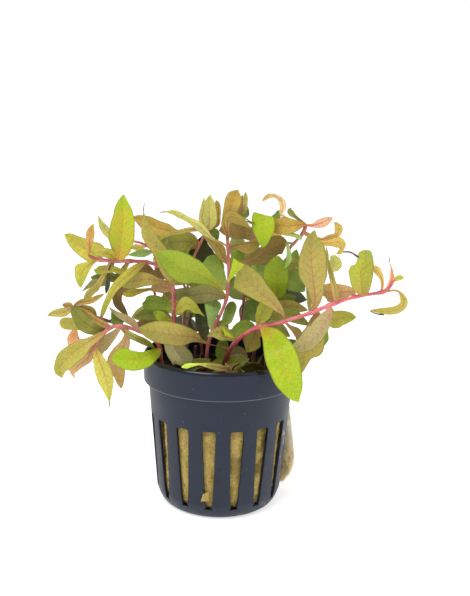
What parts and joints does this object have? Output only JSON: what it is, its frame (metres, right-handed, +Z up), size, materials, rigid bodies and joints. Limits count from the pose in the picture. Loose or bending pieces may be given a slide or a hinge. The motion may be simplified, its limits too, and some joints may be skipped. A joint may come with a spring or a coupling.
{
  "type": "potted aquarium plant",
  "caption": "Bushy aquatic stem plant with narrow pointed leaves on arching pink stems, rooted in a rock wool plug inside a slotted net pot.",
  "frame": {"origin": "centre of the pot's base, on the surface that the pot stands on", "axes": "+Z up along the pot's axis, -Y towards the viewer of the plant's front, +X to that viewer's right"},
  "size_m": [0.114, 0.0711, 0.1053],
  "materials": {
    "brown": "brown leaf, waxy, with a slight gloss",
    "dark": "dark leaf, waxy, with a slight gloss",
    "gold": "gold leaf, waxy, with a slight gloss",
    "green": "green leaf, waxy, with a slight gloss",
    "khaki": "khaki leaf, waxy, with a slight gloss",
    "lime": "lime leaf, waxy, with a slight gloss",
    "mauve": "mauve leaf, waxy, with a slight gloss",
    "olive": "olive leaf, waxy, with a slight gloss",
    "orange": "orange leaf, waxy, with a slight gloss",
    "pot_plastic": "dark blue-grey moulded plastic, satin and a little wet",
    "rock_wool": "yellow-ochre mineral wool, matt and fibrous",
    "stem_pink": "pink-red plant stem, glossy",
    "stem_red": "dark red plant stem, glossy",
    "tan": "tan leaf, waxy, with a slight gloss",
    "yellow": "yellow leaf, waxy, with a slight gloss"
  },
  "bodies": {
    "root": {"pot": "pot_plastic", "rock_wool": "rock_wool", "runner_stem": "stem_pink", "runner_leaf_1": "lime", "runner_leaf_2": "khaki", "runner_leaf_3": "khaki", "runner_leaf_4": "khaki", "runner_leaf_5": "tan", "runner_leaf_6": "olive", "runner_leaf_7": "gold", "runner_leaf_8": "olive", "runner_leaf_9": "olive", "runner_leaf_10": "khaki", "runner_leaf_11": "khaki", "runner_leaf_12": "tan", "centre_stem": "stem_pink", "centre_leaf_1": "green", "centre_leaf_2": "green", "centre_leaf_3": "mauve", "centre_leaf_4": "green", "centre_leaf_5": "dark", "centre_leaf_6": "brown", "centre_leaf_7": "brown", "centre_leaf_8": "gold", "centre_leaf_9": "yellow", "centre_leaf_10": "khaki", "left_stem": "stem_pink", "left_leaf_1": "khaki", "left_leaf_2": "green", "left_leaf_3": "yellow", "left_leaf_4": "mauve", "left_leaf_5": "lime", "left_leaf_6": "yellow", "left_leaf_7": "yellow", "left_leaf_8": "olive", "low_left_stem": "stem_pink", "low_left_leaf_1": "lime", "low_left_leaf_2": "olive", "low_left_leaf_3": "mauve", "low_left_leaf_4": "yellow", "low_left_leaf_5": "tan", "low_left_leaf_6": "green", "side_left_stem": "stem_red", "thin_stem": "stem_red", "thin_leaf_1": "khaki", "thin_leaf_2": "gold", "thin_leaf_3": "gold", "thin_leaf_4": "dark", "thin_leaf_5": "khaki", "back_left_stem": "stem_red", "back_centre_stem": "stem_red", "back_centre_leaf_1": "lime", "back_centre_leaf_2": "olive", "right_stem": "stem_red", "right_leaf_1": "green", "right_leaf_2": "gold", "right_leaf_3": "orange", "rear_left_stem": "stem_red", "rear_right_stem": "stem_red", "rear_centre_stem": "stem_red"}
  },
  "joints": []
}
